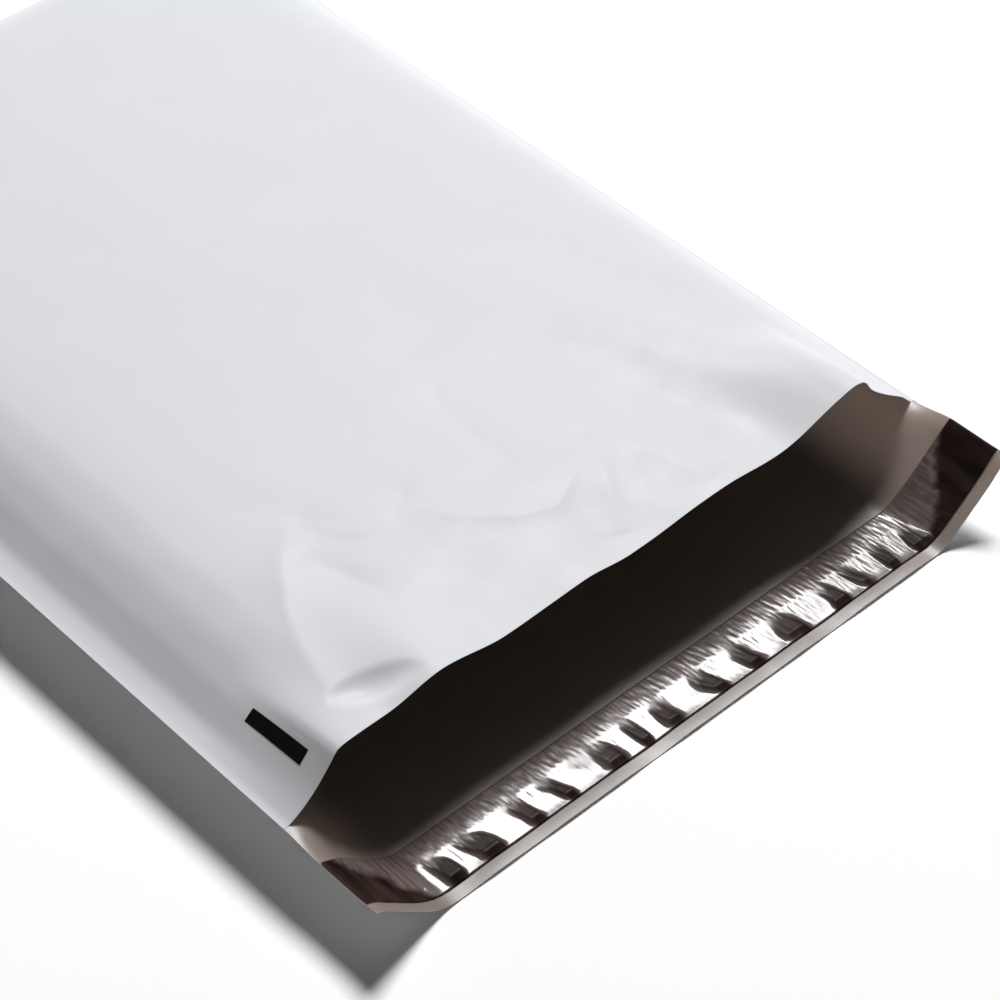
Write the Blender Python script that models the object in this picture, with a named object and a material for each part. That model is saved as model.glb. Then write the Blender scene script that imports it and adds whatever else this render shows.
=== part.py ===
"""Plain white poly mailer: one folded and side-welded bag of co-extruded film, with a closing flap
that carries a hot-melt adhesive band under a peel-off release liner, and a printed eye mark.

The bag lies on its back panel with its mouth held slightly open. X runs across the bag, Y runs
along it from the flap (-Y) to the closed end (+Y), and Z is up. The origin is the centre of the
bag's footprint on the surface that it lies on. All sizes are in metres."""

import math

import bpy
import numpy as np

# The flat bag
FLAT_WIDTH = 0.254            # across the flat bag, outside the side welds
POUCH_DEPTH = 0.330           # from the mouth to the closed end, flat
FLAP_LENGTH = 0.036           # the back panel's flap past the mouth
FILM = 0.0001                 # film gauge, 100 micrometres
WELD_WIDTH = 0.0015           # fused margin down each side

# The bag as it lies, slightly puffed
SIDE_DRAW = 0.0065            # each side pulled in where the bag is open
END_DRAW = 0.0015             # middle of the closed end pulled in
SEAM_HEIGHT = 0.019           # side welds and closed end above the surface
CORNER_REACH = 0.075          # length over which the closed corners spread to the flat width
END_REACH = 0.026             # length over which the front panel rises from the closed end
FOOT_REACH = 0.030            # length over which the back panel comes down from the closed end
MOUTH_REACH = 0.045           # length over which the mouth's wavy lip fades into the panel

# Soft crest that runs back and inwards from the lip's right peak
CREST_FROM_EDGE = 0.0287      # crest to the right weld's edge, at the mouth
CREST_RISE = 0.003            # height over the panel, at the mouth
CREST_SPREAD = 0.014          # half breadth
CREST_LEAN = 0.40             # sideways travel for each unit along the bag
CREST_REACH = 0.170           # length over which it fades

# Flap closure
BAND_WIDTH = 0.018            # release liner
HEM_MARGIN = 0.004            # bare film between the liner and the flap's edge
LINER = 0.00012               # release liner gauge
LINER_END_GAP = 0.0003        # liner kept back from each side of the flap
ADHESIVE_WIDTH = 0.014        # hot-melt band under the liner
ADHESIVE = 0.00015            # thickness of the hot-melt band
ADHESIVE_END_GAP = 0.006      # adhesive kept back from each side of the flap
LAYER_GAP = 0.0003            # clearance between stacked layers

# Cross puckers of the release liner
PUCKER_PITCH = 0.0150         # from one pucker to the next
PUCKER_RISE = 0.0006          # height of a pucker
PUCKER_LEAN = 0.25            # sideways lean of a pucker for each unit across the band
PUCKER_END = 0.010            # calm length at each end of the liner

# Printed eye mark on the front panel's left slope
MARK_LENGTH = 0.0223          # along the bag
MARK_WIDTH = 0.0045           # up the slope
MARK_FROM_MOUTH = 0.0080      # nearer end to the mouth
MARK_FROM_EDGE = 0.0124       # lower side to the side weld's edge, in plan
MARK_SKIN = 0.0001            # thickness of the printed patch

# Rise of the front panel over the side welds. Left and right lists: (distance in from the weld line,
# rise). Crown lists: (share of the half width, rise).
LIP_LEFT = ((0.0, 0.0003), (0.0045, 0.0028), (0.0088, 0.0064), (0.0142, 0.0128), (0.0175, 0.0168),
            (0.0217, 0.0174))
LIP_CROWN = ((-0.71, 0.0176), (-0.55, 0.0207), (-0.36, 0.0170), (-0.12, 0.0181), (0.03, 0.0158),
             (0.31, 0.0179), (0.51, 0.0161))
LIP_RIGHT = ((0.0341, 0.0220), (0.0272, 0.0233), (0.0235, 0.0224), (0.0192, 0.0168),
             (0.0122, 0.0107), (0.0045, 0.0050), (0.0, 0.0006))
BODY_LEFT = ((0.0, 0.0002), (0.0045, 0.0014), (0.0085, 0.0043), (0.0135, 0.0083), (0.0235, 0.0138),
             (0.0335, 0.0164))
BODY_CROWN = ((-0.59, 0.0176), (-0.34, 0.0186), (0.0, 0.0192), (0.31, 0.0188), (0.51, 0.0182))
BODY_RIGHT = ((0.0405, 0.0176), (0.0270, 0.0170), (0.0170, 0.0150), (0.0100, 0.0112), (0.0045, 0.0057),
              (0.0, 0.0010))

# Height of the back panel at a side whose weld is as high as the pouch list's first point. Pouch:
# (distance in from the weld line, height). Flap: (distance in from the side, height).
POUCH_SIDE = ((0.0, 0.0190), (0.0045, 0.0180), (0.0105, 0.0122), (0.0175, 0.0040), (0.0235, 0.0006),
              (0.0265, 0.0))
FLAP_LEFT = ((0.0, 0.0177), (0.0078, 0.0120), (0.0176, 0.0036), (0.0225, 0.0008), (0.0270, 0.0))
FLAP_RIGHT = ((0.0280, 0.0), (0.0240, 0.0010), (0.0190, 0.0042), (0.0131, 0.0089),
              (0.0066, 0.0150), (0.0, 0.0216))
FLAP_BLEND = 0.016            # length over which the pouch's back profile becomes the flap's

# Grid lines of the film: distances in from a weld line, from the mouth and from the closed end
SIDE_LINES = (0.0, 0.0022, 0.0045, 0.0075, 0.0105, 0.0140, 0.0175, 0.0205, 0.0235, 0.0275, 0.0335,
              0.0425, 0.0545)
CROWN_LINES = 7               # grid lines on the crown between the two sides' lines
MOUTH_LINES = (0.0, 0.005, 0.011, 0.018, 0.027, 0.038, 0.052)
END_LINES = (0.075, 0.058, 0.044, 0.032, 0.022, 0.0135, 0.007, 0.003, 0.0)
MIDDLE_LINES = 7              # grid lines between the mouth's and the closed end's
ADHESIVE_STEP = 0.005         # spacing of the adhesive band's facets
PUCKER_FACETS = 8             # facets along one pucker
LINER_ROWS = 4                # facets across the release liner
MARK_ROWS = 5                 # facets along the eye mark
MARK_COLUMNS = 3              # facets across the eye mark

HALF_FLAT = FLAT_WIDTH / 2
HALF_OPEN = HALF_FLAT - SIDE_DRAW
MOUTH_Y = -(POUCH_DEPTH - FLAP_LENGTH) / 2


def ease(t):
    """Smooth step from 0 to 1."""
    t = min(max(t, 0.0), 1.0)
    return t * t * (3.0 - 2.0 * t)


def curve(points, t):
    """Value at t of a smooth curve through the points, without overshoot between them."""
    xs = [p[0] for p in points]
    ys = [p[1] for p in points]
    if t <= xs[0]:
        return ys[0]
    if t >= xs[-1]:
        return ys[-1]
    slopes = [(ys[k + 1] - ys[k]) / (xs[k + 1] - xs[k]) for k in range(len(xs) - 1)]
    k = max(n for n in range(len(slopes)) if xs[n] <= t)

    def tangent(n):
        if n == 0:
            return slopes[0]
        if n == len(slopes):
            return slopes[-1]
        before, after = slopes[n - 1], slopes[n]
        return 0.0 if before * after <= 0.0 else 2.0 * before * after / (before + after)

    step = xs[k + 1] - xs[k]
    u = (t - xs[k]) / step
    return (ys[k] * (1.0 + 2.0 * u) * (1.0 - u) ** 2 + ys[k + 1] * (3.0 - 2.0 * u) * u * u
            + step * (tangent(k) * u * (1.0 - u) ** 2 - tangent(k + 1) * (1.0 - u) * u * u))


def half_width(along):
    """Half the distance between the weld edges, at a distance from the mouth."""
    spread = ease((along - (POUCH_DEPTH - CORNER_REACH)) / CORNER_REACH)
    return HALF_OPEN + SIDE_DRAW * spread


def across_panel(left, crown, right, margin, edge, x, half):
    """Value at x of a profile: side lists start a margin in from the sides, where it has the edge value."""
    points = [(margin + a - half, value) for a, value in left]
    points += [(share * half, value) for share, value in crown]
    points += [(half - margin - b, value) for b, value in right]
    if margin > 0.0:
        points = [(-half, edge)] + points + [(half, edge)]
    return curve(points, x)


def crest(x, along):
    """Height of the soft crest over the rest of the front panel."""
    middle = HALF_OPEN - CREST_FROM_EDGE - CREST_LEAN * along
    return CREST_RISE * ease(1.0 - along / CREST_REACH) * math.exp(-((x - middle) / CREST_SPREAD) ** 2)


def front_height(x, along):
    """Height of the front panel's inner face."""
    half = half_width(along)
    lip = across_panel(LIP_LEFT, LIP_CROWN, LIP_RIGHT, WELD_WIDTH, 0.0, x, half)
    body = across_panel(BODY_LEFT, BODY_CROWN, BODY_RIGHT, WELD_WIDTH, 0.0, x, half)
    body += crest(x, along) * ease((half - abs(x)) / CREST_FROM_EDGE)
    rise = lip + (body - lip) * ease(along / MOUTH_REACH)
    from_end = min(max(POUCH_DEPTH - along, 0.0) / END_REACH, 1.0)
    return SEAM_HEIGHT + rise * math.sin(0.5 * math.pi * from_end) ** 0.8


def back_height(x, along):
    """Height of the back panel's upper face."""
    half = half_width(along)
    weld = POUCH_SIDE[0][1]
    pouch = across_panel(POUCH_SIDE, (), POUCH_SIDE[::-1], WELD_WIDTH, weld, x, half)
    flap = across_panel(FLAP_LEFT, (), FLAP_RIGHT, 0.0, 0.0, x, half)
    share = (pouch + (flap - pouch) * ease(-along / FLAP_BLEND)) / weld
    foot = 1.0 - ease((POUCH_DEPTH - along) / FOOT_REACH)
    return FILM + (SEAM_HEIGHT - FILM) * (share + (1.0 - share) * foot)


def plan(x_share, along):
    """Plan position of a grid point: the closed end bows in at its middle."""
    bow = END_DRAW * (1.0 - x_share * x_share) * ease((along / POUCH_DEPTH - 0.6) / 0.4)
    return MOUTH_Y + along - bow


def grid_columns(half):
    """Positions across the bag, from the left weld edge to the right one."""
    side = [0.0] + [WELD_WIDTH + a for a in SIDE_LINES]
    inner = half - side[-1]
    crown = [inner * (2.0 * (n + 1) / (CROWN_LINES + 1) - 1.0) for n in range(CROWN_LINES)]
    return [a - half for a in side] + crown + [half - a for a in reversed(side)]


def grid_rows():
    """Distances from the mouth, along the pouch."""
    start, stop = MOUTH_LINES[-1], POUCH_DEPTH - END_LINES[0]
    middle = [start + (stop - start) * (n + 1) / (MIDDLE_LINES + 1) for n in range(MIDDLE_LINES)]
    return list(MOUTH_LINES) + middle + [POUCH_DEPTH - e for e in END_LINES]


def sheet(rows, height):
    """Array of points, row by row, of one panel's inner face."""
    points = []
    for along in rows:
        half = half_width(along)
        points.append([(x, plan(x / half, along), height(x, along)) for x in grid_columns(half)])
    return np.array(points)


def offset(points, distance):
    """The same grid moved along its upward normals."""
    tangent_x = np.gradient(points, axis=1)
    tangent_y = np.gradient(points, axis=0)
    normals = np.cross(tangent_x, tangent_y)
    normals /= np.linalg.norm(normals, axis=2, keepdims=True)
    return points + normals * distance


def face_strip(faces, first, second):
    """Quads between two equally long rows of vertex numbers."""
    for n in range(len(first) - 1):
        faces.append((first[n], first[n + 1], second[n + 1], second[n]))


def face_grid(faces, numbers, upward):
    """Quads over a grid of vertex numbers. Both skins of the film are cut along the same diagonals."""
    for row, above in zip(numbers[:-1], numbers[1:]):
        for n in range(len(row) - 1):
            if upward:
                faces.append((row[n], row[n + 1], above[n + 1], above[n]))
            else:
                faces.append((row[n], above[n], above[n + 1], row[n + 1]))


def add_points(vertices, grid):
    """Append a grid of points and return its vertex numbers."""
    grid = np.asarray(grid)
    first = len(vertices)
    vertices.extend(map(tuple, grid.reshape(-1, 3)))
    return np.arange(first, len(vertices)).reshape(grid.shape[:-1])


def material(name, colour, roughness):
    """Principled material with an opaque surface."""
    made = bpy.data.materials.new(name)
    made.use_nodes = True
    shader = made.node_tree.nodes["Principled BSDF"]
    shader.inputs["Base Color"].default_value = (*colour, 1.0)
    shader.inputs["Roughness"].default_value = roughness
    shader.inputs["Metallic"].default_value = 0.0
    made.diffuse_color = (*colour, 1.0)
    return made


def add_object(name, vertices, faces, finish):
    """Object made from vertices and faces, smooth apart from its sharp edges."""
    mesh = bpy.data.meshes.new(name)
    mesh.from_pydata([tuple(map(float, v)) for v in vertices], [], [tuple(map(int, f)) for f in faces])
    mesh.update()
    mesh.shade_smooth()
    mesh.set_sharp_from_angle(angle=math.radians(40))
    mesh.materials.append(finish)
    made = bpy.data.objects.new(name, mesh)
    bpy.context.scene.collection.objects.link(made)
    return made


def mailer_film():
    """Front panel, closed end, back panel and flap: one film, folded once and welded at the sides."""
    pouch_rows = grid_rows()
    liner_start = -(FLAP_LENGTH - HEM_MARGIN)
    flap_rows = [-FLAP_LENGTH, liner_start, liner_start + BAND_WIDTH / 2, liner_start + BAND_WIDTH,
                 (liner_start + BAND_WIDTH) / 2]
    mouth = len(flap_rows)

    front_in = sheet(pouch_rows, front_height)
    back_in = sheet(flap_rows + pouch_rows, back_height)
    middle = (front_in + back_in[mouth:]) / 2
    for inner in (front_in, back_in[mouth:]):
        inner[:, (0, 1, -2, -1)] = middle[:, (0, 1, -2, -1)]
        inner[-1] = middle[-1]
    front_out = offset(front_in, FILM)
    back_out = offset(back_in, -FILM)
    back_out[:, :, 2] = np.maximum(back_out[:, :, 2], 0.0)

    vertices, faces = [], []
    top = add_points(vertices, front_out)
    bottom = add_points(vertices, back_out)
    back = add_points(vertices, back_in)
    front = add_points(vertices, front_in[:-1, 2:-2])
    bend = add_points(vertices, middle[-1, 1:-1] + (0.0, FILM, 0.0))
    fold = [back[-1, 0], *bend, back[-1, -1]]

    # Inner faces meet on the weld lines and on the closed end
    lining = back[mouth:].copy()
    lining[:-1, 2:-2] = front
    face_grid(faces, top, True)
    face_grid(faces, bottom, False)
    face_grid(faces, lining[:, 1:-1], False)
    face_grid(faces, back[mouth:, 1:-1], True)
    face_grid(faces, back[:mouth + 1], True)

    # Cut edges: mouth lip, welded sides, flap and the outside of the fold
    left = back[mouth:, 0]
    right = back[mouth:, -1]
    face_strip(faces, lining[0], top[0])
    face_strip(faces, top[:, 0], left)
    face_strip(faces, left, bottom[mouth:, 0])
    face_strip(faces, right, top[:, -1])
    face_strip(faces, bottom[mouth:, -1], right)
    face_strip(faces, back[:mouth + 1, 0], bottom[:mouth + 1, 0])
    face_strip(faces, bottom[:mouth + 1, -1], back[:mouth + 1, -1])
    face_strip(faces, bottom[0], back[0])
    face_strip(faces, top[-1], fold)
    face_strip(faces, fold, bottom[-1])
    return add_object("mailer_film", vertices, faces, material("white_film", (0.74, 0.75, 0.78), 0.35))


def layer(name, rows, columns, height, lift, thickness, finish):
    """Thin layer that follows a panel: its lower face at lift and its upper face thickness above."""
    base = np.array([[(x, plan(x / half_width(along), along), height(x, along)) for x in columns]
                     for along in rows])
    vertices, faces = [], []
    lower = add_points(vertices, offset(base, lift))
    upper = add_points(vertices, offset(base, lift + thickness))
    face_grid(faces, upper, True)
    face_grid(faces, lower, False)
    face_strip(faces, lower[0], upper[0])
    face_strip(faces, upper[-1], lower[-1])
    face_strip(faces, upper[:, 0], lower[:, 0])
    face_strip(faces, lower[:, -1], upper[:, -1])
    return add_object(name, vertices, faces, finish)


def flap_columns(end_gap, spacing):
    """Positions across the flap, evenly spaced, kept back from its two sides."""
    reach = HALF_OPEN - end_gap
    count = max(round(2.0 * reach / spacing), 8)
    return [reach * (2.0 * n / count - 1.0) for n in range(count + 1)]


def puckered_back(x, along):
    """Back panel's height with the liner's cross puckers, which die out towards its ends."""
    calm = ease((HALF_OPEN - PUCKER_END - abs(x)) / PUCKER_END)
    wave = 0.5 - 0.5 * math.cos(2.0 * math.pi * (x + PUCKER_LEAN * along) / PUCKER_PITCH)
    return back_height(x, along) + PUCKER_RISE * wave * calm


def adhesive_band():
    """Hot-melt band on the flap, narrower than the liner that covers it."""
    middle = -(FLAP_LENGTH - HEM_MARGIN - BAND_WIDTH / 2)
    rows = [middle - ADHESIVE_WIDTH / 2, middle, middle + ADHESIVE_WIDTH / 2]
    layer("adhesive_band", rows, flap_columns(ADHESIVE_END_GAP, ADHESIVE_STEP), back_height,
          LAYER_GAP, ADHESIVE, material("hot_melt", (0.16, 0.11, 0.09), 0.25))


def release_liner():
    """Peel-off liner over the adhesive, puckered across its width."""
    start = -(FLAP_LENGTH - HEM_MARGIN)
    rows = [start + BAND_WIDTH * n / LINER_ROWS for n in range(LINER_ROWS + 1)]
    layer("release_liner", rows, flap_columns(LINER_END_GAP, PUCKER_PITCH / PUCKER_FACETS),
          puckered_back, 2.0 * LAYER_GAP + ADHESIVE, LINER,
          material("silicone_liner", (0.36, 0.31, 0.29), 0.12))


def eye_mark():
    """Black registration mark printed beside the mouth, for a packing machine's sensor."""
    rows = [MARK_FROM_MOUTH + MARK_LENGTH * n / MARK_ROWS for n in range(MARK_ROWS + 1)]
    middle = MARK_FROM_MOUTH + MARK_LENGTH / 2
    step = MARK_WIDTH / MARK_COLUMNS
    columns = [MARK_FROM_EDGE - HALF_OPEN]
    for n in range(MARK_COLUMNS):
        climb = front_height(columns[-1] + step, middle) - front_height(columns[-1], middle)
        columns.append(columns[-1] + step * step / math.hypot(step, climb))
    layer("eye_mark", rows, columns, front_height, FILM + LAYER_GAP, MARK_SKIN,
          material("black_ink", (0.004, 0.004, 0.004), 0.4))


def main():
    for old in list(bpy.data.objects):
        bpy.data.objects.remove(old, do_unlink=True)
    mailer_film()
    adhesive_band()
    release_liner()
    eye_mark()


main()
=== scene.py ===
"""A white poly mailer lying with its mouth open, its flap laid out under a glossy peel-off liner.

Everything is in metres: +X across the bag, +Y from the mouth to the closed end, +Z up. A place on the bag
is given as (x, along), where along is the distance from the mouth, negative on the flap.
"""

import math

import bpy
import numpy as np
from mathutils import Matrix, Vector


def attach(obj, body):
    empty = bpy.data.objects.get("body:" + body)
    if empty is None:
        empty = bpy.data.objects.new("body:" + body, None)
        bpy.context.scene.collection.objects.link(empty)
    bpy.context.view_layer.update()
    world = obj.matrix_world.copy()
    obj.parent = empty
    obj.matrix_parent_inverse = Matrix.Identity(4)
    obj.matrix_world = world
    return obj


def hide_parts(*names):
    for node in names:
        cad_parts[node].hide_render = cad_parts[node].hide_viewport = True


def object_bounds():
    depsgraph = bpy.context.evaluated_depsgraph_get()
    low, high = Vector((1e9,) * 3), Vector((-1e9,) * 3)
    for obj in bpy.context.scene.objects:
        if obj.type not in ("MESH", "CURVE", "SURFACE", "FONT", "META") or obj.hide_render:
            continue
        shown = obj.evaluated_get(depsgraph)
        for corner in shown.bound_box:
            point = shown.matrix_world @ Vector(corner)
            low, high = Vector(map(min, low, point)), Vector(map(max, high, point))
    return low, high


bl_info = {
    "name": "Poly Mailer",
    "version": (1, 0, 0),
    "blender": (4, 5, 0),
    "location": "3D View > Sidebar > Mailer",
    "description": "Makes an open poly mailer, its peel-off liner and a plain studio around it",
    "category": "Add Mesh",
}

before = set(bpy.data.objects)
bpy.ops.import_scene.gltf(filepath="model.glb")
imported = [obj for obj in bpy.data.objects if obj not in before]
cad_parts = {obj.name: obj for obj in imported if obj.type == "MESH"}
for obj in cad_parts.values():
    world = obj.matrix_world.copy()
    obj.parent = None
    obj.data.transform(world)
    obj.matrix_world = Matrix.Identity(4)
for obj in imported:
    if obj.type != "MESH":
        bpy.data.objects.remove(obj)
CAD_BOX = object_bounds()
BODY = "root"

# Flap, from the mouth to its edge
FLAP_LENGTH = 0.036

# Shape of the lying bag
SIDE_DRAW = 0.0065
END_DRAW = 0.0015
CORNER_REACH = 0.075
END_REACH = 0.026
END_ROUNDNESS = 0.8
END_DRAW_START = 0.6
FOOT_REACH = 0.030
MOUTH_REACH = 0.045
FLAP_BLEND = 0.016
CREST_FROM_EDGE = 0.0287
CREST_RISE = 0.003
CREST_SPREAD = 0.014
CREST_LEAN = 0.40
CREST_REACH = 0.170

# Rise of the front panel over the side welds. Left and right lists: (distance in from the weld line,
# rise). Crown lists: (share of the half width, rise).
LIP_LEFT = ((0.0, 0.0003), (0.0045, 0.0028), (0.0088, 0.0064), (0.0142, 0.0128), (0.0175, 0.0168),
            (0.0217, 0.0174))
LIP_CROWN = ((-0.71, 0.0176), (-0.55, 0.0207), (-0.36, 0.0170), (-0.12, 0.0181), (0.03, 0.0158),
             (0.31, 0.0179), (0.51, 0.0161))
LIP_RIGHT = ((0.0341, 0.0220), (0.0272, 0.0233), (0.0235, 0.0224), (0.0192, 0.0168),
             (0.0122, 0.0107), (0.0045, 0.0050), (0.0, 0.0006))
BODY_LEFT = ((0.0, 0.0002), (0.0045, 0.0014), (0.0085, 0.0043), (0.0135, 0.0083), (0.0235, 0.0138),
             (0.0335, 0.0164))
BODY_CROWN = ((-0.59, 0.0176), (-0.34, 0.0186), (0.0, 0.0192), (0.31, 0.0188), (0.51, 0.0182))
BODY_RIGHT = ((0.0405, 0.0176), (0.0270, 0.0170), (0.0170, 0.0150), (0.0100, 0.0112), (0.0045, 0.0057),
              (0.0, 0.0010))

# Height of the back panel where the weld is as high as the pouch list's first point. Pouch: (distance in
# from the weld line, height). Flap: (distance in from the side, height).
POUCH_SIDE = ((0.0, 0.0190), (0.0045, 0.0180), (0.0105, 0.0122), (0.0175, 0.0040), (0.0235, 0.0006),
              (0.0265, 0.0))
FLAP_LEFT = ((0.0, 0.0177), (0.0078, 0.0120), (0.0176, 0.0036), (0.0225, 0.0008), (0.0270, 0.0))
FLAP_RIGHT = ((0.0280, 0.0), (0.0240, 0.0010), (0.0190, 0.0042), (0.0131, 0.0089),
              (0.0066, 0.0150), (0.0, 0.0216))

# Creased folds of the front panel, where the photo shows them, with their heights and slopes as judged:
# points along the crest, its height, and its slope's reach to the left and right, going from first point to
# last
PLEATS = (
    (((-0.034, 0.053), (-0.024, 0.040), (-0.012, 0.029), (-0.001, 0.025), (0.011, 0.031), (0.022, 0.038)),
     0.0014, 0.0100, 0.0055),
    (((0.022, 0.038), (0.019, 0.028), (0.012, 0.016), (0.007, 0.006)), 0.0014, 0.0060, 0.0120),
    (((0.022, 0.038), (0.030, 0.030), (0.036, 0.016), (0.039, 0.004)), 0.0010, 0.0110, 0.0070),
    (((-0.058, 0.071), (-0.070, 0.061), (-0.081, 0.046), (-0.087, 0.032), (-0.092, 0.013)),
     0.0014, 0.0100, 0.0060),
    (((-0.066, 0.060), (-0.061, 0.045), (-0.056, 0.029)), -0.0009, 0.0070, 0.0070),
    (((0.010, 0.092), (0.002, 0.076), (0.001, 0.055), (0.001, 0.036)), -0.0006, 0.0060, 0.0090),
    (((0.044, 0.055), (0.053, 0.040), (0.057, 0.020), (0.050, 0.006)), -0.0011, 0.0090, 0.0090),
)

# Dents with a creased rim: place, half length and half breadth, turn in degrees, depth (below 0 is a bump)
DENTS = (
    ((-0.0810, 0.0095), (0.0135, 0.0055), -22.0, 0.0022),
    ((-0.0440, 0.0600), (0.0150, 0.0100), -35.0, -0.0008),
)

# Margins over which the folds reach their full height, in from the sides and from a little before the lip.
# The higher the last value, the finer they taper at their ends.
FOLD_MARGIN = 0.020
LIP_MARGIN = 0.010
LIP_START = 0.002
FOLD_TAPER = 0.6

# Waves of the flap's loose edge: length and phase of each, their height and how far they reach in
HEM_WAVES = ((0.064, 0.4), (0.037, 2.1), (0.023, 4.0))
HEM_RISE = 0.0010
HEM_REACH = 0.008

# Slight waviness that handling leaves in the film
COCKLE_WAVES = 16
COCKLE_LENGTHS = (0.016, 0.045)
COCKLE_RISE = 0.00006
COCKLE_REACH = 0.200
COCKLE_LOSS = 0.7
COCKLE_SEED = 11

# Spacing of the mesh. The back panel has a line for every second one of the front's slopes and every
# fourth one of its crown.
WELD_STEP = 0.0020
PANEL_STEP = 0.0013
SLOPE_REACH = 0.042
SLOPE_SKIP = 2
CROWN_SKIP = 4
FOLDED_REACH = 0.100
FOLDED_STEP = 0.0011
PLAIN_STEP = 0.0034
FLAP_STEP = 0.0015
MARK_STEP = 0.0008
MARK_COLUMNS = 9
MARK_SAMPLES = 40
LINER_STEP_ACROSS = 0.00028
LINER_STEP_ALONG = 0.00050

# Rows near the closed end: distance from it at which each stretch starts, and its spacing
END_STRETCHES = ((0.030, 0.0020), (0.006, 0.0009), (0.0006, 0.0003))

# Faces that meet at more than this have a sharp edge between them
SHARP_ANGLE = math.radians(50)

# Layers on the film
ADHESIVE_LIFT = 0.00004
LINER_LIFT = 0.00022
MARK_LIFT = 0.00006
MARK_SKIN = 0.00002

# Liner's bubbles: sideways lean for each unit down the strip, and the share of its width where they begin
BUBBLE_LEAN = -0.12
BUBBLE_START = 0.10

# Camera, found from the bag's straight edges in a square picture
CAMERA_AZIMUTH = -43.42
CAMERA_ELEVATION = 44.40
CAMERA_ROLL = 0.84
CAMERA_DISTANCE = 0.86997
CAMERA_AIM = (0.00201, -0.09589, 0.019)
SENSOR = 36.0

# Direction from the bag to the key light
KEY_DIRECTION = (0.55, 0.40, 1.0)
FLOOR_SIDE = 12.0
FLOOR_DROP = 0.0002


def linear(code):
    """Linear colour of an sRGB hex code such as E4E6EA."""
    parts = [int(code[n:n + 2], 16) / 255 for n in (0, 2, 4)]
    return tuple(p / 12.92 if p <= 0.04045 else ((p + 0.055) / 1.055) ** 2.4 for p in parts)


def ease(t):
    """Smooth step from 0 to 1."""
    t = np.clip(t, 0.0, 1.0)
    return t * t * (3.0 - 2.0 * t)


def curve(points, t):
    """Smooth curve through (x, y) points that never overshoots them, read at each t."""
    xs, ys = np.array(points, float).T
    slopes = np.diff(ys) / np.diff(xs)
    product = slopes[:-1] * slopes[1:]
    total = np.where(product > 0.0, slopes[:-1] + slopes[1:], 1.0)
    tangents = np.zeros(len(xs))
    tangents[1:-1] = np.where(product > 0.0, 2.0 * product / total, 0.0)
    t = np.clip(t, xs[0], xs[-1])
    n = np.clip(np.searchsorted(xs, t, side="right") - 1, 0, len(xs) - 2)
    step = xs[n + 1] - xs[n]
    s = (t - xs[n]) / step
    return (ys[n] * (1 + 2 * s) * (1 - s) ** 2 + tangents[n] * step * s * (1 - s) ** 2
            + ys[n + 1] * s * s * (3 - 2 * s) + tangents[n + 1] * step * s * s * (s - 1))


def spaced(*stretches):
    """Rising positions over (start, stop, step) stretches that follow each other."""
    parts = []
    for start, stop, step in stretches:
        count = max(round((stop - start) / step), 1)
        parts.append(start + (stop - start) * np.arange(count) / count)
    return np.concatenate(parts + [[stretches[-1][1]]])


def offset(points, distance):
    """A grid of points moved along its upward normals."""
    normals = np.cross(np.gradient(points, axis=1), np.gradient(points, axis=0))
    normals /= np.linalg.norm(normals, axis=2, keepdims=True)
    return points + normals * distance


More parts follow.
